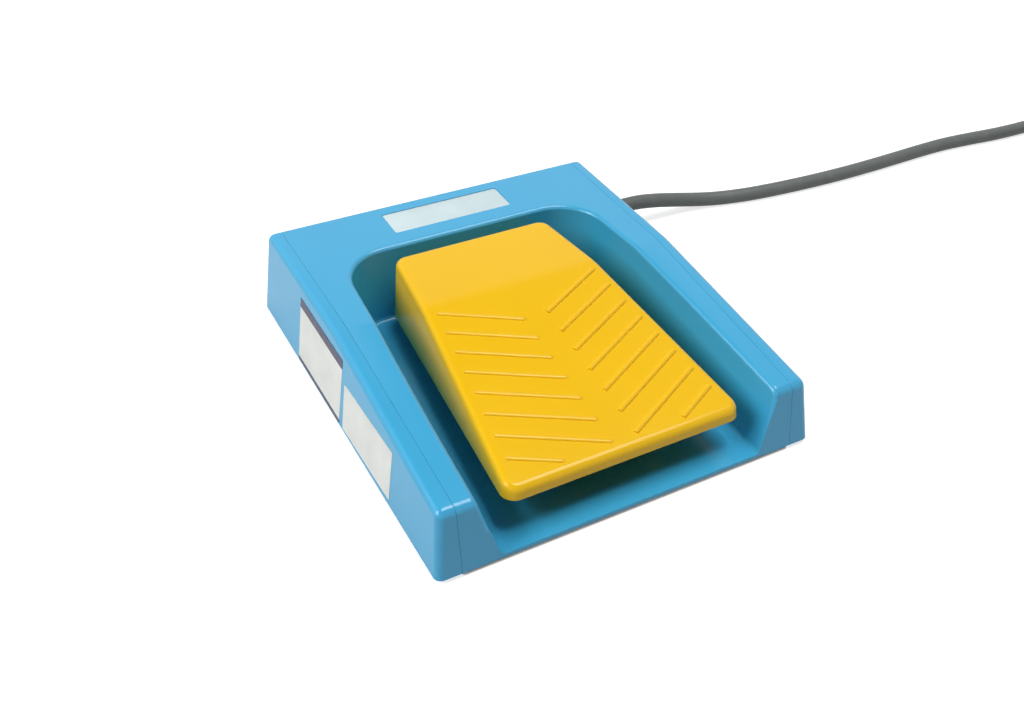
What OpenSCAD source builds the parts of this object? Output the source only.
// Foot switch: one treadle pedal in a guarded housing, on a flexible lead.
// The ground is z = 0. X runs across, Y from the front to the rear, Z up.

/* [Body] */
// Width over both cheeks along their bottom edges
body_w = 160; // [158:1:168]
// Depth from the front to the rear along the bottom edges
body_d = 174; // [172:1:182]
// Height of the level deck
deck_h = 38.3; // [38:0.1:41]
// Height of the front top edges
front_h = 27.9; // [26:0.1:30]
// Depth of the level deck, from the rear bottom edge to its bend
level_d = 75.5; // [72:0.5:80]
// Lean of the front face, in degrees
front_lean = 12; // [8:0.5:14]
// Lean of the rear face, in degrees
rear_lean = 2.7; // [1:0.1:3.5]
// Draft of the outer faces of the cheeks, in degrees
side_draft = 6.6; // [5:0.1:7]
// Thickness of a cheek along its bottom edge
cheek_t = 9.7; // [9.4:0.1:10.4]
// Wall of the housing and of the cheeks
wall = 2.5; // [2.2:0.1:2.7]
// Radius of the outer corners
corner_r = 3; // [2:0.5:3.5]

/* [Base] */
// Height of the feet below the base plate
foot_h = 0.5; // [0.3:0.1:1]
// Radius of a foot
foot_r = 6; // [5:0.5:6.5]
// Thickness of the base plate
plate_t = 1; // [0.8:0.1:1.2]
// Thickness of the gasket
gasket_t = 0.5; // [0.4:0.1:0.8]
// Thickness of the tabs that hold the cheeks
tab_t = 3; // [2:0.5:3.5]
// Width of the tabs that hold the cheeks
tab_w = 10; // [8:0.5:11]
// Diameter of the screws in the base
base_screw_d = 3; // [2.5:0.1:3]
// Length of the screws in the base
base_screw_l = 13; // [10:1:16]
// Distance of the front tabs behind the front bottom edge
tab_front = 15; // [13:0.5:18]
// Distance of the rear tabs in front of the rear bottom edge
tab_rear = 27; // [26:0.5:30]
// Distance of the front feet behind the front bottom edge
foot_front = 27.8; // [24:0.2:34]
// Distance of the rear feet in front of the rear bottom edge
foot_rear = 15.6; // [14:0.2:18]

/* [Pocket] */
// Depth of the closed space behind the pocket's floor, along the bottom
chamber_d = 37; // [36:0.5:40]
// Lean of the pocket's rear wall, in degrees
pocket_lean = 6.5; // [5:0.5:8]
// Height of the floor at the rear
floor_rear_h = 5; // [4.6:0.1:5.2]
// Height of the floor at the front
floor_front_h = 3.4; // [3.2:0.1:3.8]
// Width of a shoulder along the floor at the front
floor_front_side = 24.7; // [24:0.1:26]
// Width of a shoulder along the floor at the rear
floor_rear_side = 26; // [25.5:0.1:27]
// Width of a shoulder at the height of the deck, at the front, out to the foot of the cheek
rim_front_side = 13.7; // [13:0.1:16]
// Width of a shoulder at the height of the deck, at the rear, out to the foot of the cheek
rim_rear_side = 24.1; // [23:0.1:25]
// Corner radius of the pocket at the deck
rim_corner_r = 20; // [16:1:24]
// Corner radius of the pocket at the floor
floor_corner_r = 15; // [12:1:18]
// Width of the shallow window in the deck
window_w = 55; // [48:1:60]
// Length of the window from front to rear
window_l = 15.4; // [12:0.2:17]
// Depth of the window
window_deep = 0.8; // [0.6:0.1:1]
// Distance from the rear bottom edge to the window
window_back = 9; // [8:0.5:11]
// Gap round the plate in the window
window_gap = 0.15; // [0.1:0.05:0.4]

/* [Pedal] */
// Distance of the toe behind the front bottom edge
toe_in = 7.6; // [6.6:0.1:10]
// Gap between the heel and the shoulder on each side, at the deck
heel_side = 20.3; // [19:0.1:21]
// Gap between the toe and the shoulder on each side, along the floor
toe_side = 5.3; // [4.4:0.1:7]
// Length of the level heel
heel_l = 36.4; // [34:0.2:38]
// Slope of the tread, in degrees
tread_slope = 8.72; // [8:0.02:9]
// Gap between the heel and the pocket at the deck
heel_gap = 6.2; // [5.6:0.1:7]
// Depth of the heel below the deck
heel_drop = 0.8; // [0.5:0.1:1]
// Height of the skirt's foot over the floor at the heel
skirt_heel_up = 4.8; // [4.4:0.1:5.4]
// Height of the skirt at the toe
skirt_toe_h = 5.3; // [5:0.1:6]
// Outward flare of the skirt at its foot
skirt_flare = 1; // [0.6:0.1:1.2]
// Corner radius of the pedal in plan
pedal_corner_r = 5.5; // [5:0.5:7]
// Radius of the pedal's top edge
pedal_edge_r = 2.8; // [2:0.1:3]
// Wall of the skirt
skirt_t = 2.5; // [2.2:0.1:2.8]
// Thickness of the tread
tread_t = 2.8; // [2.4:0.1:3]
// Full travel of the pedal, in degrees
travel = 5.5; // [4:0.1:5.6]

/* [Grip bars] */
// Most grip bars on each side
bar_count = 8; // [5:1:8]
// Distance between the bars along the tread
bar_pitch = 10.95; // [9:0.05:11]
// Turn of the bars from the X direction, in degrees
bar_turn = 26.6; // [20:0.2:30]
// Width of a bar
bar_w = 1.4; // [1:0.1:2]
// Height of a bar over the tread
bar_h = 0.7; // [0.4:0.1:1]
// Distance from the middle of the pedal to the inner ends
bar_inner = 5.2; // [4:0.2:7]
// Distance from the pedal's edge to the outer ends
bar_margin = 5; // [4:0.2:6]
// Distance along the tread from the bend to the first inner end
bar_start = 20.2; // [18:0.2:22]

/* [Hinge] */
// Distance of the hinge line from the heel
hinge_in = 12.6; // [12:0.1:13.5]
// Height of the hinge line
hinge_h = 17; // [16.5:0.1:17.5]
// Diameter of the hinge shaft
shaft_d = 6; // [5:0.1:6]
// Running clearance round the shaft
shaft_gap = 0.05; // [0.02:0.01:0.09]
// Wall of the bushes
bush_t = 1; // [0.8:0.1:1.2]
// Thickness of the flange on a bush
flange_t = 1; // [0.8:0.1:1.2]
// Width of a hinge hook from the pedal's side inwards
hook_w = 5.4; // [5:0.1:6]
// Thickness of a hinge lug
lug_t = 6; // [5:0.2:6]
// Wall round the bore of a lug
lug_wall = 3; // [2.5:0.1:3.5]

/* [Spring and stops] */
// Distance of the spring behind the toe
spring_in = 47.4; // [44:0.2:54]
// Outer diameter of the spring
spring_d = 16; // [14:0.5:17]
// Diameter of the spring wire
wire_d = 1.4; // [1.2:0.1:1.6]
// Turns of the spring
spring_turns = 7; // [5:1:8]
// Distance of the stop bumpers behind the toe
stop_in = 20; // [18:0.2:24]
// Distance of the stop bumpers from the middle
stop_x = 25; // [20:1:30]
// Height of the stop bumpers
stop_h = 4.5; // [4:0.1:5]
// Radius of the stop bumpers
stop_r = 6; // [5:0.5:7]
// Distance of the rest bumpers from the middle
rest_x = 15; // [12:0.5:16]
// Radius of the rest bumpers
rest_r = 3.2; // [2.5:0.1:3.4]

/* [Switch] */
// Distance of the plunger in front of the hinge
plunger_arm = 18; // [17.5:0.1:18.5]
// Diameter of the plunger's stem
plunger_d = 5; // [4:0.1:5.4]
// Diameter of the plunger's head
head_d = 9; // [8:0.2:10]
// Height of the plunger's top over the hump
plunger_show = 5; // [4.6:0.1:5.4]
// Wall of the hump that covers the switch
hump_wall = 2.2; // [2:0.1:2.4]
// Length of the switch case
case_l = 27.8; // [26:0.2:29]
// Thickness of the switch case
case_t = 10.3; // [9.6:0.1:10.6]
// Height of the switch case
case_h = 15.9; // [15.4:0.1:16.2]
// Height of the switch case over the base plate
case_up = 5.45; // [5:0.05:5.8]
// Distance between the switch screws along the case
case_hole_l = 22.2; // [20:0.2:22.4]
// Distance between the switch screws up the case
case_hole_h = 10.3; // [9:0.1:10.5]
// Thickness of the switch bracket
bracket_t = 1.5; // [1.2:0.1:1.8]
// Diameter of the small screws
small_screw_d = 2.5; // [2:0.1:2.5]

/* [Wiring] */
// Diameter of the lead
cord_d = 7; // [6.6:0.1:7.2]
// Height of the lead where it leaves the cheek
exit_h = 12; // [11.6:0.1:12.4]
// Distance of the lead from the rear bottom edge
exit_back = 11; // [10.6:0.1:11.6]
// Length of the strain relief outside the cheek
relief_l = 18; // [16:0.5:24]
// Wall of the strain relief at the cheek
relief_t = 2.5; // [2:0.1:2.7]
// Diameter of an insulated core
core_d = 1.8; // [1.4:0.1:2]
// Length of the terminal block
block_l = 24; // [22:0.5:25]
// Width of the terminal block
block_w = 16; // [14:0.5:17]
// Height of the terminal block
block_h = 11; // [10:0.2:11.6]
// Height of the terminal block's top
block_top = 16.1; // [15.6:0.1:17]
// Length of the cores between the jacket and the terminal block
core_l = 8.2; // [8:0.1:9]
// Number of ways in the terminal block
ways = 3; // [3:1:3]

/* [Coil and plug] */
// Turns in the coil of spare lead
coil_turns = 6.5; // [6.5:1:6.5]
// Radius of the smallest turn
coil_inner_r = 28; // [28:0.5:32]
// Clear gap between the turns
coil_gap = 0.65; // [0.6:0.05:0.8]
// Thickness of the tie round the coil
tie_t = 0.6; // [0.5:0.1:0.8]
// Width of the tie
tie_w = 10; // [8:0.5:12]
// Diameter of the plug's coupling ring
ring_d = 17; // [15:0.5:19]
// Length of the plug's shell
shell_l = 22; // [20:0.5:26]

/* [Hidden] */

blue = [0.42, 0.74, 0.90];
yellow = [0.98, 0.78, 0.12];
steel = [0.78, 0.79, 0.80];
dark = [0.16, 0.17, 0.18];
grey = [0.30, 0.33, 0.33];
pale = [0.88, 0.90, 0.90];
brass = [0.80, 0.66, 0.36];

over = 1;          // overrun of a cut past the face that it opens
skin = 0.05;       // thickness of the thin plates that a hull joins
seat_gap = 0.2;    // clearance between pieces that seat in each other
bore_gap = 0.05;   // clearance of a screw or a pin in its hole
arc_steps = 8;     // flats in a rounded corner of an outline
hull_fn = 32;      // sides of the round pieces that a hull joins
round_fn = 48;     // sides of the plain round pieces

// Body
seat_z = foot_h + plate_t + gasket_t;
front_y = -body_d / 2;
rear_y = body_d / 2;
bend_y = rear_y - level_d;
front_top_y = front_y + (front_h - seat_z) * tan(front_lean);
rear_top_y = rear_y - (deck_h - seat_z) * tan(rear_lean);
seam_x = body_w / 2 - cheek_t;
inner_x = seam_x - wall;

// Pocket
pocket_d = body_d - chamber_d;
floor_front_w = body_w - floor_front_side * 2;
floor_rear_w = body_w - floor_rear_side * 2;
rim_front_w = body_w - rim_front_side * 2;
rim_rear_w = body_w - rim_rear_side * 2;
pocket_y = front_y + pocket_d;
rim_y = pocket_y + (deck_h - floor_rear_h) * tan(pocket_lean);
floor_tilt = atan((floor_rear_h - floor_front_h) / pocket_d);
window_y = rear_y - window_back - window_l;

// Pedal
heel_y = rim_y - heel_gap;
toe_y = front_y + toe_in;
pedal_l = heel_y - toe_y;
heel_w = rim_rear_w - heel_side * 2;
toe_w = floor_front_w - toe_side * 2;
tread_y = heel_y - heel_l;
heel_z = deck_h - heel_drop;
tread_l = (pedal_l - heel_l) / cos(tread_slope);
toe_z = heel_z - tread_l * sin(tread_slope);
skirt_heel_z = floor_rear_h + skirt_heel_up;
skirt_toe_z = toe_z - skirt_toe_h;
bend_w = heel_w + (toe_w - heel_w) * heel_l / pedal_l;

// Hinge
hinge_y = heel_y - hinge_in;
bush_r = shaft_d / 2 + bush_t;
bush_flange_r = bush_r + bush_t;
clip_t = flange_t * 0.8;
hook_x = heel_w / 2 - hook_w;
clip_x = hook_x - seat_gap - clip_t;
lug_out = clip_x - seat_gap - flange_t;
lug_in = lug_out - lug_t;
shaft_x = heel_w / 2 - skirt_t / 2;
lug_r = bush_r + lug_wall;
hook_r = shaft_d / 2 + lug_wall;

// Switch and plunger, stacked up from the base plate
plunger_y = hinge_y - plunger_arm;
case_z = foot_h + plate_t + case_up;
case_top = case_z + case_h;
button_show = plunger_arm * travel * PI / 180 + seat_gap * 2;
button_top = case_top + button_show;
plunger_low = button_top + seat_gap;
hump_in_z = plunger_low - seat_gap * 2;
hump_top = hump_in_z + hump_wall;
plunger_top = hump_top + plunger_show;
press_z = plunger_top + seat_gap;
guide_flange_t = hump_wall / 2;
guide_r = plunger_d / 2 + bush_t;
hump_clear = seat_gap * 3;
hump_in_y = case_t / 2 + bracket_t + hump_clear;
ear_l = small_screw_d * 3;
hump_in_x = case_l / 2 + ear_l + hump_clear * 3;
ear_x = case_l / 2 + hump_clear * 2 + ear_l / 2;
ear_z = case_z + case_h * 0.56;
duct_x = hump_wall * 2.7;
duct_h = skirt_heel_z - seat_gap * 6;
blade_l = case_z - plate_t - foot_h - seat_gap * 5;
blade_w = case_t * 0.46;
blade_t = bracket_t * 0.4;
blade_step = case_l * 0.36;
screw_head_h = small_screw_d * 0.65;

// Spring, stops
spring_y = toe_y + spring_in;
spring_r = (spring_d - wire_d) / 2;
spigot_r = spring_r - wire_d;
cup_r = spring_d / 2 + wire_d;
stop_y = toe_y + stop_in;
stop_arm = hinge_y - stop_y;
rest_y = heel_y - skirt_t;
pad_h = stop_h * 0.1;
socket_t = stop_r * 0.25;

// Wiring in the rear of the housing
exit_y = rear_y - exit_back;
relief_r = cord_d / 2 + relief_t;
relief_tip_r = cord_d / 2 + relief_t * 0.55;
collar_r = relief_r + relief_t * 0.5;
tail_x = inner_x - cord_d * 2.8;
clamp_x = inner_x - cord_d * 2;
clamp_dy = cord_d / 2 + small_screw_d + seat_gap;
block_x = tail_x - core_l - block_w / 2;
block_y = rear_y - wall - block_l / 2 - hump_clear * 4;
way_step = block_l / ways;
core_r = core_d / 2;
way_r = way_step / 4;
block_head_r = small_screw_d * 0.6;

// Base screws and feet: the tabs' screws first, then the rear pair
tab_x = (inner_x + floor_front_w / 2 + wall) / 2;
tab_in = tab_x - base_screw_d * 1.1;
tab_mid_share = 0.585;  // place of the middle tab, as a share of the way from the front tab to the rear one
tab_places = [front_y + tab_front, front_y + tab_front + (body_d - tab_front - tab_rear) * tab_mid_share,
  rear_y - tab_rear];
rear_screw_x = (block_x - block_w / 2) * 0.6;
rear_screw_y = rear_y - wall - base_screw_d * 2;
boss_r = base_screw_d * 1.15;
screw_places = [for (s = [-1, 1]) each concat([for (y = tab_places) [s * tab_x, y]],
  [[s * rear_screw_x, rear_screw_y]])];
foot_x = tab_x;
foot_places = [for (s = [-1, 1], y = [front_y + foot_front, rear_y - foot_rear])
  [s * (foot_x - (y > 0 ? foot_r / 2 : 0)), y]];

// Route of the lead from the tip of the strain relief to the coil, as it lies on the ground
cord_route = [[97, 76, 12], [104, 76, 11.9], [110, 76, 11.3], [117, 76, 10.1], [125, 76, 8.4],
  [134, 75.8, 6.4], [144, 75, 4.5], [156, 72.6, 3.6], [172, 69.6, 3.5], [190, 67.6, 3.5],
  [210, 66.2, 3.5], [230, 65.5, 3.5], [250, 65.5, 3.5], [270, 66, 3.5], [290, 66.6, 3.5],
  [308, 66.6, 3.5], [326, 65.2, 3.5], [345, 63.2, 3.5], [364, 62.2, 3.6], [384, 62, 3.9],
  [404, 62, 4.1], [411, 62, 4.1]];
coil_start = [411, 62, 4.1];
end_drop = [[-9, 0, 0], [-22, 0, -2], [-34, 0, -5.2], [-46, -0.2, -7], [-56, -0.6, -7.2],
  [-66, -1, -6], [-76, -1.2, -3.8], [-86, -1.3, -2.9], [-94, -1.3, -2.8]];
coil_rings = 24;   // rings in each turn of the coil
coil_sides = 6;    // sides of the wound tube
cord_sides = 10;   // sides of the free lead
spring_rings = 8;  // rings in each turn of the spring
turn_share = 0.12; // how soon the spiral turns back, as a share of a turn

function unit(v) = v / norm(v);

// Points of the arc that rounds the corner p between a and b
function corner(a, p, b, r, n) = r <= 0 ? [p] :
  let (u = unit(a - p), v = unit(b - p), h = acos(u * v) / 2,
    c = p + unit(u + v) * r / sin(h),
    s = p + u * r / tan(h) - c, e = p + v * r / tan(h) - c,
    from = atan2(s[1], s[0]), to = atan2(e[1], e[0]),
    turn = to - from > 180 ? to - from - 360 : to - from < -180 ? to - from + 360 : to - from)
  [for (i = [0:n]) c + r * [cos(from + turn * i / n), sin(from + turn * i / n)]];

// A closed outline with its corners rounded, each by its own radius
function softened(pts, radii) = let (n = len(pts))
  [for (i = [0:n - 1]) each corner(pts[(i + n - 1) % n], pts[i], pts[(i + 1) % n], radii[i], arc_steps)];

// A convex outline with every side moved in by g
function inset(pts, g) = let (n = len(pts)) [for (i = [0:n - 1])
  let (p = pts[i], u = unit(pts[(i + n - 1) % n] - p), v = unit(pts[(i + 1) % n] - p))
  p + unit(u + v) * g / sin(acos(u * v) / 2)];

// Side view of the body, as Y and Z, with its foot cut off at height z
function side_view(z) = [[front_y + (z - seat_z) * tan(front_lean), z], [front_top_y, front_h],
  [bend_y, deck_h], [rear_top_y, deck_h], [rear_y - (z - seat_z) * tan(rear_lean), z]];

// Outer face of a cheek at height z
function cheek_x(z) = body_w / 2 - (z - seat_z) * tan(side_draft);

// Top of the pocket's floor at depth y
function floor_z(y) = floor_front_h + (y - front_y) * tan(floor_tilt);

// Underside of the tread at depth y, in front of the bend
function tread_under(y) = heel_z - (tread_y - y) * tan(tread_slope) - tread_t / cos(tread_slope);

// Draws a Y and Z outline and stretches it along X
module across(x0, x1) {
  translate([x0, 0, 0]) rotate([90, 0, 90]) linear_extrude(x1 - x0) children();
}

// A box from its lowest to its highest corner
module block(low, high) {
  translate(low) cube(high - low);
}

// A round bar along X
module bar_x(x0, x1, y, z, r) {
  translate([x0, y, z]) rotate([0, 90, 0]) cylinder(r = r, h = x1 - x0, $fn = round_fn);
}

// A round bar along Z
module post(p, z0, z1, r) {
  translate([p[0], p[1], z0]) cylinder(r = r, h = z1 - z0, $fn = round_fn);
}

// A rectangle about the middle with round corners
module pad(w, d, r) {
  polygon(softened([[-w / 2, -d / 2], [w / 2, -d / 2], [w / 2, d / 2], [-w / 2, d / 2]], [r, r, r, r]));
}

// A pan-head screw that points up from the origin
module screw(d, l, head_d, head_h) {
  rotate_extrude($fn = round_fn)
    polygon([[0, -head_h], [head_d * 0.42, -head_h], [head_d / 2, -head_h * 0.5], [head_d / 2, 0],
      [d / 2, 0], [d / 2, l - d / 4], [d / 4, l], [0, l]]);
}

module small_screw(l) {
  screw(small_screw_d, l, small_screw_d * 1.8, screw_head_h);
}

// Ring of points round p, square to the direction t
function ring(p, t, r, n, ref) = let (s = unit(cross(t, ref)), w = cross(s, t))
  [for (k = [0:n - 1]) p + r * (cos(360 * (k + 0.5) / n) * w + sin(360 * (k + 0.5) / n) * s)];

// A tube with n sides along a path, closed at both ends
module tube(path, r, n, ref = [0, 0, 1]) {
  m = len(path);
  pts = [for (i = [0:m - 1])
    each ring(path[i], unit(path[min(i + 1, m - 1)] - path[max(i - 1, 0)]), r, n, ref)];
  sides = [for (i = [0:m - 2], k = [0:n - 1]) let (a = i * n + k, b = i * n + (k + 1) % n)
    each [[a, a + n, b + n], [a, b + n, b]]];
  near = [for (k = [1:n - 2]) [0, k, k + 1]];
  far = [for (k = [1:n - 2]) let (z = (m - 1) * n) [z, z + k + 1, z + k]];
  polyhedron(points = pts, faces = concat(sides, near, far));
}

// Body mouldings

module pocket_outline(w_front, w_rear, y, r, grow) {
  polygon(softened([[-w_front / 2 - grow, front_y - over], [w_front / 2 + grow, front_y - over],
    [w_rear / 2 + grow, y + grow], [-w_rear / 2 - grow, y + grow]], [0, 0, r + grow, r + grow]));
}

// The space that the pocket takes out of the body, or its walls when grown
module pocket_space(grow, deeper) {
  hull() {
    translate([0, front_y, floor_front_h]) rotate([floor_tilt, 0, 0]) translate([0, -front_y, -deeper])
      linear_extrude(deeper + skin)
        pocket_outline(floor_front_w, floor_rear_w, pocket_y, floor_corner_r, grow);
    translate([0, 0, deck_h]) linear_extrude(over)
      pocket_outline(rim_front_w, rim_rear_w, rim_y, rim_corner_r, grow);
  }
}

module body_form() {
  across(-seam_x, seam_x)
    polygon(softened(side_view(seat_z), [0, corner_r, 0, corner_r, 0]));
}

// Bosses that hang from the deck into the hollow of the housing
module housing_bosses() {
  for (p = screw_places) post(p, seat_z - over, deck_h, boss_r);
  for (s = [-1, 1]) {
    post([clamp_x, exit_y + s * clamp_dy], exit_h, deck_h, small_screw_d);
    post([block_x, block_y + s * way_step / 2], block_top, deck_h, small_screw_d * 1.4);
  }
}

// The closed rear space and the space in the shoulders, open to below
module body_hollow() {
  difference() {
    across(-inner_x, inner_x) polygon(inset(side_view(seat_z - over - wall), wall));
    pocket_space(wall, seat_z + over);
    housing_bosses();
  }
}

module hinge_lug(s) {
  foot_w = lug_r * 1.3;
  across(s > 0 ? lug_in : -lug_out, s > 0 ? lug_out : -lug_in) {
    translate([hinge_y, hinge_h]) circle(lug_r, $fn = round_fn);
    polygon([[hinge_y - foot_w, floor_rear_h - over], [hinge_y + foot_w, floor_rear_h - over],
      [hinge_y + lug_r, hinge_h], [hinge_y - lug_r, hinge_h]]);
  }
}

// Raised cover over the switch, and the duct from it to the rear space
module switch_hump(grow, z0, z1, duct_z) {
  translate([0, plunger_y, z0]) linear_extrude(z1 - z0)
    pad((hump_in_x + grow) * 2, (hump_in_y + grow) * 2, hump_wall * 0.7 + grow);
  duct = duct_x - hump_wall + grow;
  block([-duct, plunger_y, z0], [duct, pocket_y + wall + over, duct_z]);
}

// Round seat moulded on the floor for a bumper
module floor_socket(p, r) {
  z = floor_z(p[1]) + pad_h;
  post(p, seat_z + over / 2, z, r + socket_t);
  difference() {
    post(p, z - pad_h, z + socket_t, r + socket_t);
    post(p, z - over, z + socket_t + over, r + seat_gap);
  }
}

module spring_seat() {
  z = floor_z(spring_y) + pad_h;
  post([0, spring_y], seat_z + over / 2, z, cup_r);
  post([0, spring_y], z - pad_h, z + wire_d * 3, spigot_r);
}

module tab_notch(s, y) {
  half = tab_w / 2 + seat_gap;
  mirror([s > 0 ? 0 : 1, 0, 0])
    block([tab_in - seat_gap - boss_r, y - half, seat_z - over],
      [seam_x + over, y + half, seat_z + tab_t + seat_gap]);
}

module housing() {
  color(blue) difference() {
    union() {
      difference() {
        body_form();
        pocket_space(0, 0);
      }
      switch_hump(hump_wall, seat_z + over / 2, hump_top, duct_h);
      for (s = [-1, 1]) {
        hinge_lug(s);
        floor_socket([s * stop_x, stop_y], stop_r);
        floor_socket([s * rest_x, rest_y], rest_r);
      }
      spring_seat();
    }
    body_hollow();
    difference() {
      switch_hump(0, seat_z - over, hump_in_z, duct_h - hump_wall);
      for (s = [-1, 1]) post([s * ear_x, plunger_y], ear_z + bracket_t, hump_top, ear_l / 2);
    }
    post([0, plunger_y], hump_in_z - over, hump_top + over, guide_r);
    for (s = [-1, 1]) {
      bar_x(s > 0 ? lug_in - over : -lug_out - over, s > 0 ? lug_out + over : -lug_in + over,
        hinge_y, hinge_h, bush_r);
      post([s * ear_x, plunger_y], ear_z, ear_z + ear_l, small_screw_d / 2 + bore_gap);
      post([clamp_x, exit_y + s * clamp_dy], exit_h - over, exit_h + cord_d, small_screw_d / 2 + bore_gap);
      post([block_x, block_y + s * way_step / 2], block_top - over, block_top + cord_d,
        small_screw_d / 2 + bore_gap);
      for (y = tab_places) tab_notch(s, y);
    }
    for (p = screw_places) post(p, seat_z - over, base_screw_l + over, base_screw_d / 2 + bore_gap);
    bar_x(inner_x - over, seam_x + over, exit_y, exit_h, relief_r + seat_gap);
    block([-window_w / 2, window_y, deck_h - window_deep],
      [window_w / 2, window_y + window_l, deck_h + over]);
  }
}

// Outer form of the right cheek
module cheek_form() {
  drop = corner_r / cos(side_draft);
  top = inset(side_view(seat_z), corner_r);
  intersection() {
    block([seam_x, front_y - over, 0], [body_w, rear_y + over, deck_h + over]);
    hull() {
      across(seam_x, seam_x + skin) polygon(softened(side_view(seat_z), [0, corner_r, 0, corner_r, 0]));
      for (i = [1:3]) translate([cheek_x(top[i][1]) - drop, top[i][0], top[i][1]])
        sphere(corner_r, $fn = hull_fn);
      for (y = [front_y + corner_r / cos(front_lean), rear_y - corner_r / cos(rear_lean)])
        translate([cheek_x(seat_z) - drop, y, seat_z]) cylinder(r = corner_r, h = skin, $fn = hull_fn);
    }
  }
}

// Inside of the right cheek, open to the seam and to below
module cheek_hollow() {
  form = inset(side_view(seat_z - over - wall), wall);
  hull() {
    for (p = form) {
      translate([seam_x - over, p[0], p[1]]) cube(skin, center = true);
      translate([cheek_x(p[1]) - wall / cos(side_draft), p[0], p[1]]) cube(skin, center = true);
    }
  }
}

module cheek_ribs() {
  for (y = [(tab_places[0] + tab_places[1]) / 2, (tab_places[1] + tab_places[2]) / 2])
    block([seam_x, y - wall / 4, seat_z - over], [body_w / 2, y + wall / 4, deck_h]);
}

module cheek_tabs() {
  for (y = tab_places) difference() {
    block([tab_in - boss_r, y - tab_w / 2, seat_z], [body_w / 2 - wall, y + tab_w / 2, seat_z + tab_t]);
    post([tab_x, y], seat_z - over, seat_z + tab_t + over, base_screw_d / 2 + seat_gap);
  }
}

module right_half_cheek() {
  difference() {
    cheek_form();
    difference() {
      cheek_hollow();
      cheek_ribs();
    }
  }
  cheek_tabs();
}

module left_cheek() {
  color(blue) mirror([1, 0, 0]) right_half_cheek();
}

module right_cheek() {
  color(blue) difference() {
    right_half_cheek();
    bar_x(seam_x - over, body_w / 2 + over, exit_y, exit_h, relief_r + seat_gap);
  }
}

// Base

module base_sheet(z, t) {
  translate([0, 0, z]) linear_extrude(t) pad((seam_x - seat_gap) * 2, body_d - seat_gap * 2, corner_r / 2);
}

module base_gasket() {
  edge = wall * 2;
  color(dark) difference() {
    base_sheet(foot_h + plate_t, gasket_t);
    block([-inner_x + edge, pocket_y + edge, foot_h], [inner_x - edge, rear_y - wall * 4, seat_z + over]);
    block([-hump_in_x, plunger_y - hump_in_y, foot_h], [hump_in_x, plunger_y + hump_in_y, seat_z + over]);
    block([-duct_x + hump_wall, plunger_y, foot_h],
      [duct_x - hump_wall, pocket_y + wall * 3, seat_z + over]);
    for (p = screw_places) post(p, foot_h, seat_z + over, base_screw_d / 2 + seat_gap);
    for (p = foot_places) post(p, foot_h, seat_z + over, foot_r * 0.75);
  }
}

module screw_sink(p, gap) {
  translate([p[0], p[1], foot_h - skin]) cylinder(r1 = base_screw_d * 0.9 + gap + skin,
    r2 = base_screw_d / 2 + gap, h = plate_t + skin, $fn = round_fn);
}

module base_plate() {
  color(pale) difference() {
    base_sheet(foot_h, plate_t);
    for (p = screw_places) {
      screw_sink(p, bore_gap);
      post(p, foot_h, seat_z, base_screw_d / 2 + bore_gap);
    }
    for (p = foot_places) post(p, 0, seat_z, foot_r * 0.42);
  }
}

module rubber_feet() {
  stem = foot_r * 0.42 - bore_gap;
  top = foot_h + plate_t;
  color(dark) for (p = foot_places) translate([p[0], p[1], 0]) rotate_extrude($fn = round_fn)
    polygon([[0, 0], [foot_r - foot_h / 2, 0], [foot_r, foot_h / 2], [foot_r, foot_h], [stem, foot_h],
      [stem, top], [foot_r * 0.6, top], [foot_r * 0.6, top + gasket_t], [foot_r * 0.3, top + plate_t * 2],
      [0, top + plate_t * 2]]);
}

module base_screws() {
  color(steel) for (p = screw_places) {
    translate([p[0], p[1], foot_h]) cylinder(r1 = base_screw_d * 0.9, r2 = base_screw_d / 2, h = plate_t,
      $fn = round_fn);
    post(p, foot_h, base_screw_l, base_screw_d / 2);
  }
}

module deck_plate() {
  t = window_deep * 0.75;
  color(pale) translate([0, window_y + window_l / 2, deck_h - window_deep]) linear_extrude(t)
    pad(window_w - window_gap * 2, window_l - window_gap * 2, window_deep);
}

// Pedal

// Round piece that gives a corner of the pedal, its top at the origin
module corner_bead(r, edge) {
  translate([0, 0, -edge]) rotate_extrude($fn = hull_fn) {
    square([r - edge, edge]);
    translate([r - edge, 0]) intersection() {
      circle(edge, $fn = hull_fn);
      square(edge);
    }
  }
}

// The pedal's form with its sides moved in by g, its top lowered and its foot lengthened
module pedal_form(g, lower, edge, longer) {
  r = pedal_corner_r - g;
  in = pedal_corner_r;
  hull() for (s = [-1, 1]) {
    translate([s * (heel_w / 2 - in), heel_y - in, heel_z - lower]) corner_bead(r, edge);
    translate([s * (bend_w / 2 - in), tread_y + r - edge, heel_z - lower]) corner_bead(r, edge);
    translate([0, tread_y, heel_z]) rotate([tread_slope, 0, 0])
      translate([s * (toe_w / 2 - in), in - tread_l, -lower]) corner_bead(r, edge);
    translate([s * (heel_w / 2 + skirt_flare - in), heel_y + skirt_flare / 2 - in, skirt_heel_z - longer])
      cylinder(r = r, h = skin, $fn = hull_fn);
    translate([s * (toe_w / 2 + skirt_flare / 2 - in), toe_y + in - skirt_flare / 4, skirt_toe_z - longer])
      cylinder(r = r, h = skin, $fn = hull_fn);
  }
}

// Flat face under the tread that the spring pushes on
function cup_z() = tread_under(spring_y - cup_r) - pad_h;

// Height of the stop pads: at full travel they meet the bumpers
function stop_pad_z() = floor_z(stop_y) + pad_h + stop_h + stop_arm * sin(travel) + seat_gap;

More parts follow.
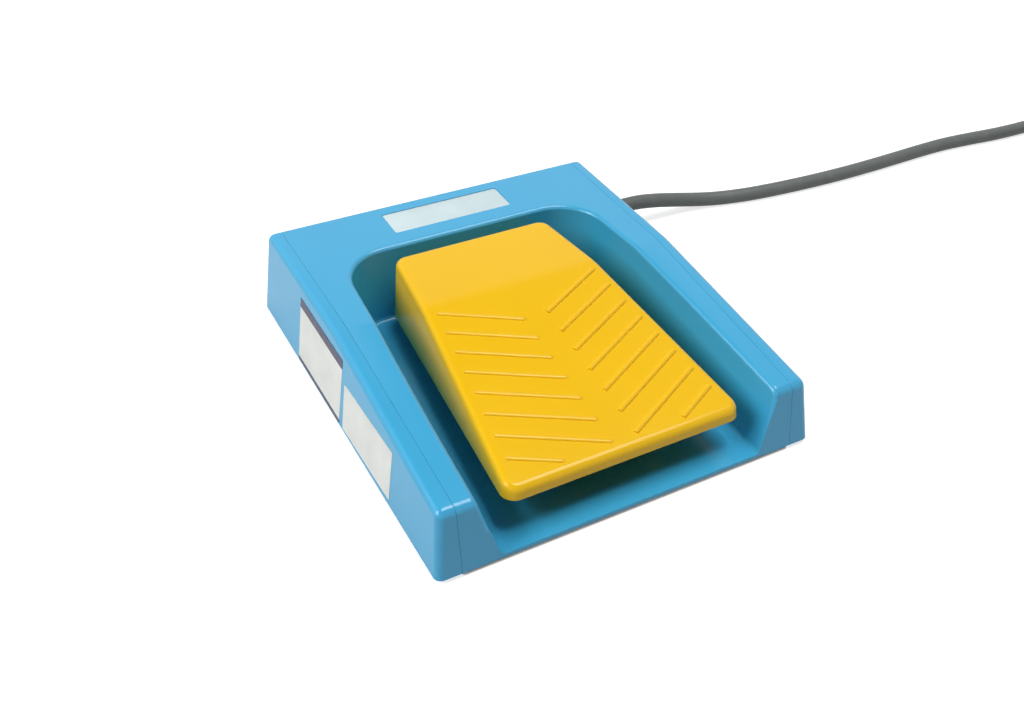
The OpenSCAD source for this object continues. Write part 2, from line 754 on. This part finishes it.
// What stands inside the pedal: ribs, the spring cup, the stop pads, the press pad and the hinge hooks
module pedal_inside() {
  rib_t = skirt_t * 0.6;
  rib_h = tread_t * 1.4;
  front = toe_y + skirt_t;
  back = plunger_y - hump_in_y - hump_wall - rib_h;
  post([0, spring_y], cup_z(), heel_z, cup_r);
  post([0, spring_y], cup_z() - wire_d * 2, heel_z, spigot_r);
  post([0, plunger_y], press_z, heel_z, head_d / 2);
  for (s = [-1, 1]) {
    post([s * stop_x, stop_y], stop_pad_z(), heel_z, stop_r * 0.75);
    translate([0, tread_y, heel_z]) rotate([tread_slope, 0, 0])
      block([s * stop_x - rib_t / 2, front - tread_y, -tread_t - rib_h],
        [s * stop_x + rib_t / 2, back - tread_y, 0]);
    across(s > 0 ? hook_x : -heel_w / 2, s > 0 ? heel_w / 2 : -hook_x) {
      translate([hinge_y, hinge_h]) circle(hook_r, $fn = round_fn);
      polygon([[hinge_y - hook_r, hinge_h], [hinge_y + hook_r, hinge_h], [hinge_y + hook_r, heel_z],
        [hinge_y - hook_r, heel_z]]);
    }
  }
  for (s = [0, 1], y = [spring_y, stop_y]) mirror([s, 0, 0]) translate([0, tread_y, heel_z])
    rotate([tread_slope, 0, 0]) block([y == spring_y ? cup_r - wire_d * 0.6 : 0, y - tread_y - rib_t / 2,
      -tread_t - rib_h * 0.7], [toe_w / 2, y - tread_y + rib_t / 2, 0]);
}

// Half width of the pedal at distance s along the tread
function tread_half(s) = bend_w / 2 + (toe_w - heel_w) / 2 * s * cos(tread_slope) / pedal_l;

// Outer and inner ends of grip bar i, as X and the distance along the tread
function bar_ends(i) = let (inner_s = bar_start + i * bar_pitch, last = tread_l - bar_margin,
  k = (toe_w - heel_w) / 2 * cos(tread_slope) / pedal_l,
  x_out = (bend_w / 2 - bar_margin + k * (inner_s + bar_inner * tan(bar_turn))) / (1 + k * tan(bar_turn)),
  x_in = inner_s > last ? bar_inner + (inner_s - last) / tan(bar_turn) : bar_inner)
  [[x_out, inner_s - (x_out - bar_inner) * tan(bar_turn)], [x_in, min(inner_s, last)]];

module grip_bars() {
  translate([0, tread_y, heel_z]) rotate([tread_slope, 0, 0]) for (s = [-1, 1], i = [0:bar_count - 1]) {
    ends = bar_ends(i);
    reach = ends[0] - ends[1];
    if (reach[0] > bar_w * 2) translate([s * ends[1][0], -ends[1][1], -bar_h])
      rotate([0, 0, atan2(-reach[1], s * reach[0])]) linear_extrude(bar_h * 2) {
        translate([0, -bar_w / 2]) square([norm(reach), bar_w]);
        for (x = [0, norm(reach)]) translate([x, 0]) circle(bar_w / 2, $fn = round_fn / 2);
      }
  }
}

module pedal() {
  color(yellow) {
    difference() {
      pedal_form(0, 0, pedal_edge_r, 0);
      difference() {
        pedal_form(skirt_t, tread_t, pedal_edge_r / 2, over);
        pedal_inside();
      }
      for (s = [-1, 1]) {
        bar_x(s > 0 ? hook_x - over : -shaft_x - seat_gap, s > 0 ? shaft_x + seat_gap : -hook_x + over,
          hinge_y, hinge_h, shaft_d / 2 + bore_gap / 2);
        block([s > 0 ? hook_x - over : -shaft_x - seat_gap, hinge_y - shaft_d * 0.44, skirt_heel_z],
          [s > 0 ? shaft_x + seat_gap : -hook_x + over, hinge_y + shaft_d * 0.44, hinge_h]);
      }
    }
    grip_bars();
  }
}

// Hinge

module hinge_shaft() {
  r = shaft_d / 2;
  cut = r * 0.15;
  groove = r * 0.8;
  color(steel) translate([0, hinge_y, hinge_h]) rotate([0, 90, 0]) rotate_extrude($fn = round_fn)
    polygon([[0, -shaft_x], [r - cut, -shaft_x], [r, -shaft_x + cut], [r, -clip_x - clip_t],
      [groove, -clip_x - clip_t], [groove, -clip_x], [r, -clip_x], [r, clip_x], [groove, clip_x],
      [groove, clip_x + clip_t],
      [r, clip_x + clip_t], [r, shaft_x - cut], [r - cut, shaft_x], [0, shaft_x]]);
}

module hinge_bushes() {
  bore = shaft_d / 2 + shaft_gap;
  color(brass) for (s = [0, 1]) mirror([s, 0, 0]) translate([0, hinge_y, hinge_h]) rotate([0, 90, 0])
    rotate_extrude($fn = round_fn)
      polygon([[bore, lug_in], [bush_r, lug_in], [bush_r, lug_out], [bush_flange_r, lug_out],
        [bush_flange_r, lug_out + flange_t], [bore, lug_out + flange_t]]);
}

module shaft_clips() {
  r = shaft_d / 2;
  color(dark) for (s = [-1, 1])
    translate([s > 0 ? clip_x : -clip_x - clip_t, hinge_y, hinge_h]) rotate([90, 0, 90])
      linear_extrude(clip_t) difference() {
        circle(r * 1.6, $fn = round_fn);
        circle(r * 0.8, $fn = round_fn);
        translate([0, -r]) square([r * 1.3, r * 2], center = true);
      }
}

// Spring and bumpers

// Height of the wire's middle after t turns: the end turns lie closer together
function wire_z(t) = let (low = floor_z(spring_y) + pad_h + wire_d / 2, high = cup_z() - wire_d / 2,
  close = wire_d + seat_gap * 2.5, open = (high - low - close * 2) / (spring_turns - 2))
  t < 1 ? low + close * t :
  t > spring_turns - 1 ? high - close * (spring_turns - t) : low + close + open * (t - 1);

spring_path = [for (i = [0:spring_turns * spring_rings]) let (t = i / spring_rings)
  [spring_r * cos(360 * t), spring_y + spring_r * sin(360 * t), wire_z(t)]];

module return_spring() {
  color(steel) tube(spring_path, wire_d / 2, coil_sides);
}

module stop_bumpers() {
  dome = stop_r * 1.2;
  color(dark) for (s = [-1, 1]) translate([s * stop_x, stop_y, floor_z(stop_y) + pad_h])
    intersection() {
      cylinder(r = stop_r, h = stop_h, $fn = round_fn);
      translate([0, 0, stop_h - dome]) sphere(dome, $fn = round_fn);
    }
}

module rest_bumpers() {
  z = floor_z(rest_y) + pad_h;
  h = skirt_heel_z - seat_gap - z;
  color(dark) for (s = [-1, 1]) translate([s * rest_x, rest_y, z]) rotate_extrude($fn = round_fn)
    polygon([[0, 0], [rest_r, 0], [rest_r, h * 0.8], [rest_r * 0.8, h], [0, h]]);
}

// Plunger and switch

module plunger() {
  head_h = plunger_show * 0.3;
  dome = head_d;
  color(pale) translate([0, plunger_y, 0]) {
    post([0, 0], plunger_low, plunger_top - head_h, plunger_d / 2);
    intersection() {
      post([0, 0], plunger_top - head_h, plunger_top, head_d / 2);
      translate([0, 0, plunger_top - dome]) sphere(dome, $fn = round_fn);
    }
  }
}

module plunger_guide() {
  bore = plunger_d / 2 + shaft_gap;
  color(brass) translate([0, plunger_y, 0]) rotate_extrude($fn = round_fn)
    polygon([[bore, hump_in_z], [guide_r, hump_in_z], [guide_r, hump_top], [guide_r + bush_t * 2, hump_top],
      [guide_r + bush_t * 2, hump_top + guide_flange_t], [bore, hump_top + guide_flange_t]]);
}

// Rubber bellows between the flange of the guide and the head of the plunger
module plunger_boot() {
  t = seat_gap * 3;
  z0 = hump_top + guide_flange_t;
  z1 = plunger_top - plunger_show * 0.3;
  r0 = guide_r + bush_t * 2;
  r1 = plunger_d / 2 + t;
  step = (z1 - z0) / 3;
  color(dark) translate([0, plunger_y, 0]) rotate_extrude($fn = round_fn)
    polygon([[r0 - t, z0], [r0, z0], [r0, z0 + step], [r1 + t, z0 + step * 1.5], [r0 - t, z0 + step * 2],
      [r1 + t, z1], [r1, z1], [r1, z0 + step * 2.6], [r0 - t * 3, z0 + step * 2], [r1, z0 + step * 1.5],
      [r0 - t, z0 + step * 0.6]]);
}

// Places of the switch screws, as X and Z
switch_holes = [for (s = [-1, 1]) [s * case_hole_l / 2, case_z + case_h * 0.18 + (s + 1) / 2 * case_hole_h]];

module switch_case() {
  edge = case_t * 0.08;
  button_r = case_t * 0.17;
  color(dark) difference() {
    translate([0, plunger_y + case_t / 2, 0]) rotate([90, 0, 0]) linear_extrude(case_t)
      translate([0, case_z + case_h / 2]) pad(case_l, case_h, edge);
    for (p = switch_holes) translate([p[0], plunger_y + case_t, p[1]]) rotate([90, 0, 0])
      cylinder(r = small_screw_d / 2 + bore_gap, h = case_t * 2, $fn = round_fn);
    post([0, plunger_y], case_top - case_h * 0.4, case_top + over, button_r + bore_gap);
    block([-case_l, plunger_y - skin, case_z + case_h * 0.72],
      [case_l, plunger_y + skin, case_z + case_h * 0.72 + skin]);
    for (i = [-1:1]) block([i * blade_step - blade_t / 2, plunger_y - blade_w / 2, case_z - over],
      [i * blade_step + blade_t / 2, plunger_y + blade_w / 2, case_z + blade_t * 2]);
  }
}

module switch_button() {
  color([0.7, 0.1, 0.1]) translate([0, plunger_y, 0]) rotate_extrude($fn = round_fn)
    polygon([[0, case_top - case_h * 0.26], [case_t * 0.17, case_top - case_h * 0.26],
      [case_t * 0.17, button_top - case_t * 0.05], [case_t * 0.12, button_top], [0, button_top]]);
}

module switch_terminals() {
  color(brass) for (i = [-1:1]) translate([i * blade_step - blade_t / 2, plunger_y, 0]) difference() {
    block([0, -blade_w / 2, case_z - blade_l], [blade_t, blade_w / 2, case_z + blade_t * 2]);
    translate([-over, 0, case_z - blade_l * 0.4]) rotate([0, 90, 0]) cylinder(r = blade_w * 0.14,
      h = over * 2 + blade_t, $fn = round_fn);
  }
}

module switch_bracket() {
  back = plunger_y + case_t / 2;
  ear = ear_x + ear_l / 2;
  color(steel) difference() {
    union() {
      block([-case_l / 2, back, case_z + blade_t], [case_l / 2, back + bracket_t, case_top - blade_t]);
      block([-ear, back, ear_z], [ear, back + bracket_t, ear_z + bracket_t * 3]);
      for (s = [-1, 1]) block([s * ear_x - ear_l / 2, plunger_y - ear_l / 2, ear_z],
        [s * ear_x + ear_l / 2, back + bracket_t, ear_z + bracket_t]);
    }
    for (s = [-1, 1]) {
      post([s * ear_x, plunger_y], ear_z - over, ear_z + bracket_t + over, small_screw_d / 2 + bore_gap);
      block([s * ear_x - ear_l / 2 - over, plunger_y - ear_l, ear_z + bracket_t],
        [s * ear_x + ear_l / 2 + over, plunger_y + ear_l / 2 + seat_gap, hump_top]);
    }
    for (p = switch_holes) translate([p[0], back + case_t, p[1]]) rotate([90, 0, 0])
      cylinder(r = small_screw_d / 2 + bore_gap, h = case_t * 2, $fn = round_fn);
  }
}

module switch_screws() {
  color(steel) for (p = switch_holes) translate([p[0], plunger_y - case_t / 2, p[1]]) rotate([-90, 0, 0])
    small_screw(case_t + bracket_t);
}

module bracket_screws() {
  color(steel) for (s = [-1, 1]) translate([s * ear_x, plunger_y, ear_z]) small_screw(ear_l * 0.9);
}

// Wiring inside the housing

module terminal_block() {
  low = block_top - block_h;
  color(pale) difference() {
    union() {
      block([block_x - block_w / 2, block_y - block_l / 2, low + block_h * 0.2],
        [block_x + block_w / 2, block_y + block_l / 2, block_top]);
      for (i = [0:ways - 1]) post([block_x, block_y + (i - 1) * way_step], low, block_top, way_step * 0.42);
    }
    for (i = [0:ways - 1]) {
      post([block_x, block_y + (i - 1) * way_step], low - over, low + block_h * 0.5, way_r);
      bar_x(block_x - block_w, block_x + block_w, block_y + (i - 1) * way_step, low + block_h * 0.62,
        core_r + bore_gap);
    }
    for (s = [-1, 1]) {
      post([block_x, block_y + s * way_step / 2], low - over, block_top + over,
        small_screw_d / 2 + bore_gap);
      post([block_x, block_y + s * way_step / 2], low - over, low + block_h * 0.2, block_head_r + bore_gap);
    }
  }
}

module terminal_screws() {
  low = block_top - block_h;
  r = way_r - bore_gap;
  color(brass) for (i = [0:ways - 1]) translate([block_x, block_y + (i - 1) * way_step, 0]) difference() {
    post([0, 0], low + block_h * 0.22, low + block_h * 0.5, r);
    block([-way_step, -r * 0.2, low], [way_step, r * 0.2, low + block_h * 0.3]);
  }
}

module block_screws() {
  low = block_top - block_h * 0.8;
  color(steel) for (s = [-1, 1]) translate([block_x, block_y + s * way_step / 2, low])
    screw(small_screw_d, block_h * 0.8 + small_screw_d * 2, block_head_r * 2, screw_head_h / 2);
}

// Two leads from the blades of the switch, through the duct, to the terminal block
module switch_leads() {
  way_z = block_top - block_h * 0.38;
  low = case_z - blade_l * 0.5;
  color(dark) for (i = [0:1]) {
    x = i == 0 ? -core_d : core_d;
    blade_x = -blade_step + i * blade_step + blade_t / 2 + core_r;
    y_way = block_y - i * way_step;
    tube([[blade_x, plunger_y, low], [blade_x, plunger_y + core_d * 2, low],
      [x, plunger_y + hump_in_y - core_d * 0.7, low], [x, pocket_y - wall, low],
      [x, pocket_y + wall * 2, low + core_d * 0.6], [x + core_d * 2, pocket_y + wall * 3.4, way_z * 0.7],
      [block_x - block_w * 1.1, y_way, way_z], [block_x - block_w / 2 + core_d, y_way, way_z]], core_r, 8);
  }
}

// Two cores from the end of the lead's jacket to the terminal block
module cord_cores() {
  way_z = block_top - block_h * 0.38;
  color(dark) for (i = [0:1]) {
    z = exit_h + (i == 0 ? -core_d : core_d) * 0.7;
    y_way = block_y - way_step + i * way_step;
    tube([[tail_x, exit_y, z], [tail_x - core_d, exit_y, z], [block_x + block_w * 0.66, y_way, way_z],
      [block_x + block_w / 2 - core_d, y_way, way_z]], core_r, 8, [0, 1, 0]);
  }
}

module cord_tail() {
  color(grey) bar_x(tail_x, cheek_x(exit_h) + relief_l, exit_y, exit_h, cord_d / 2);
}

module strain_relief() {
  bore = cord_d / 2 + bore_gap;
  face = cheek_x(exit_h);
  tip = face + relief_l;
  grooves = 5;
  step = relief_l / (grooves + 1.5);
  color(dark) translate([0, exit_y, exit_h]) rotate([0, 90, 0]) difference() {
    rotate_extrude($fn = round_fn)
      polygon([[bore, inner_x - relief_t], [collar_r, inner_x - relief_t], [collar_r, inner_x],
        [relief_r, inner_x], [relief_r, face + step * 0.6], [relief_tip_r + bore_gap, tip - bore_gap * 6],
        [relief_tip_r - bore_gap * 6, tip], [bore, tip]]);
    for (i = [1:grooves], s = [0, 180]) rotate([0, 0, s + (i % 2) * 90])
      translate([cord_d / 2 + relief_t * 0.35, -relief_r, face + step * i])
        cube([relief_t, relief_r * 2, step * 0.4]);
  }
}

// Saddle under the lead, screwed up to two posts
module cord_clamp() {
  w = cord_d * 1.1;
  low = exit_h - cord_d / 2 - wall * 0.8;
  color(pale) difference() {
    block([clamp_x - w / 2, exit_y - clamp_dy - small_screw_d, low],
      [clamp_x + w / 2, exit_y + clamp_dy + small_screw_d * 0.6, exit_h]);
    bar_x(clamp_x - w, clamp_x + w, exit_y, exit_h, cord_d / 2 + bore_gap);
    for (s = [-1, 1]) post([clamp_x, exit_y + s * clamp_dy], low - over, exit_h + over,
      small_screw_d / 2 + bore_gap);
  }
}

module clamp_screws() {
  low = exit_h - cord_d / 2 - wall * 0.8;
  color(steel) for (s = [-1, 1]) translate([clamp_x, exit_y + s * clamp_dy, low])
    screw(small_screw_d, exit_h + cord_d * 0.8 - low, small_screw_d * 1.4, screw_head_h);
}

// Lead outside the housing

coil_pitch = cord_d + coil_gap;
half_turns = coil_turns / 2;

// Distance of the coil from its middle after t turns: it winds in and out again
function coil_r(t) = coil_inner_r
  + coil_pitch * (sqrt(pow(t - half_turns, 2) + pow(turn_share, 2)) - turn_share);

// Height of the coil after t turns: it climbs a layer in the half turn where it turns back
function coil_z(t) = coil_start[2] + coil_pitch * min(1, max(0, (t - half_turns) * 2 + 0.5));

coil_outer_r = coil_r(0);
coil_mid = [coil_start[0] + cord_d, coil_start[1] - coil_outer_r];

wound = [for (i = [0:coil_turns * coil_rings]) let (t = i / coil_rings, a = 90 - 360 * t)
  [coil_mid[0] + coil_r(t) * cos(a), coil_mid[1] + coil_r(t) * sin(a), coil_z(t)]];
coil_last = wound[len(wound) - 1];
coil_path = concat([coil_start], wound, [coil_last - [cord_d, 0, 0]]);
coil_exit = coil_path[len(coil_path) - 1];
end_path = concat([coil_exit], [for (p = end_drop) coil_exit + p]);
plug_at = end_path[len(end_path) - 1];

// Least distance between two points of a path that lie at least near steps apart, less the thickness
function least_gap(path, near, d) = min([for (i = [0:len(path) - 1], j = [i + near:1:len(path) - 1])
  norm(path[i] - path[j])]) - d;
echo(least_gap_of_the_coil = least_gap(coil_path, coil_rings / 2, cord_d));
echo(least_gap_of_the_spring = least_gap(spring_path, spring_rings / 2, wire_d));

module cord() {
  color(grey) tube(cord_route, cord_d / 2, cord_sides);
}

module cord_coil() {
  color(grey) tube(coil_path, cord_d / 2, coil_sides);
}

module cord_end() {
  color(grey) tube(end_path, cord_d / 2, cord_sides);
}

// Strap round the turns on the left of the coil, on the ground
module cord_tie() {
  turns = floor(half_turns) - 1;
  near = coil_inner_r - cord_d / 2 - seat_gap;
  far = coil_inner_r + coil_pitch * (turns + 0.5) + cord_d / 2 + seat_gap * 5;
  high = coil_pitch + cord_d + tie_t + seat_gap * 2;
  color(dark) translate([coil_mid[0], coil_mid[1] + tie_w / 2, 0]) rotate([90, 0, 0]) linear_extrude(tie_w)
    translate([-(near + far) / 2, (high + tie_t) / 2]) difference() {
      pad(far - near + tie_t * 2, high + tie_t, cord_d / 2);
      pad(far - near, high - tie_t, cord_d / 2 - tie_t);
    }
}

// Plug, on the ground beside the coil, its axis along X

plug_r = ring_d / 2;
shell_r = plug_r * 0.82;
boot_l = shell_l * 0.9;
shell_x = plug_at[0] - boot_l;
face_x = shell_x - shell_l;

module plug_turned() {
  translate([0, plug_at[1], plug_at[2]]) rotate([0, -90, 0]) rotate_extrude($fn = round_fn) children();
}

module plug_boot() {
  r = cord_d / 2;
  tail = -plug_at[0] + bore_gap;
  color(dark) plug_turned() polygon([[0, tail], [r * 1.25, tail], [r * 1.35, tail + boot_l * 0.1],
    [shell_r * 0.8, -shell_x - boot_l * 0.15], [shell_r * 0.8, -shell_x], [0, -shell_x]]);
}

module plug_shell() {
  color(steel) plug_turned() polygon([[0, -shell_x], [shell_r * 0.9, -shell_x],
    [shell_r, -shell_x + shell_r * 0.1], [shell_r, -shell_x + shell_l * 0.5],
    [shell_r * 0.8, -shell_x + shell_l * 0.5], [shell_r * 0.8, -face_x],
    [shell_r * 0.66, -face_x], [shell_r * 0.66, -face_x - shell_l * 0.35], [0, -face_x - shell_l * 0.35]]);
}

module plug_ring() {
  color(steel) difference() {
    plug_turned() polygon([[shell_r * 0.8 + bore_gap, -shell_x + shell_l * 0.5 + bore_gap],
      [plug_r * 0.94, -shell_x + shell_l * 0.5 + bore_gap], [plug_r, -shell_x + shell_l * 0.55],
      [plug_r, -face_x - shell_l * 0.05], [plug_r * 0.94, -face_x], [shell_r * 0.8 + bore_gap, -face_x]]);
    translate([0, plug_at[1], plug_at[2]]) for (i = [0:23]) rotate([i * 15, 0, 0])
      translate([face_x + shell_l * 0.07, -plug_r * 0.04, plug_r * 0.95])
        cube([shell_l * 0.36, plug_r * 0.08, plug_r]);
  }
}

module plug_insert() {
  color(dark) difference() {
    r = shell_r * 0.66 - bore_gap;
    plug_turned() polygon([[0, -face_x - shell_l * 0.35], [r, -face_x - shell_l * 0.35],
      [r, -face_x - shell_l * 0.25], [0, -face_x - shell_l * 0.25]]);
    plug_pin_bars(bore_gap);
  }
}

module plug_pin_bars(gap) {
  for (i = [0:3]) translate([face_x, plug_at[1], plug_at[2]]) rotate([i * 90 + 45, 0, 0])
    bar_x(shell_l * 0.06, shell_l * 0.35 - bore_gap, 0, shell_r * 0.36, shell_r * 0.09 + gap);
}

module plug_pins() {
  color(brass) plug_pin_bars(0);
}

housing();
left_cheek();
right_cheek();
base_gasket();
base_plate();
rubber_feet();
base_screws();
deck_plate();
pedal();
hinge_shaft();
hinge_bushes();
shaft_clips();
return_spring();
stop_bumpers();
rest_bumpers();
plunger();
plunger_guide();
plunger_boot();
switch_case();
switch_button();
switch_terminals();
switch_bracket();
switch_screws();
bracket_screws();
switch_leads();
terminal_block();
terminal_screws();
block_screws();
cord_cores();
cord_tail();
strain_relief();
cord_clamp();
clamp_screws();
cord();
cord_coil();
cord_end();
cord_tie();
plug_boot();
plug_shell();
plug_ring();
plug_insert();
plug_pins();
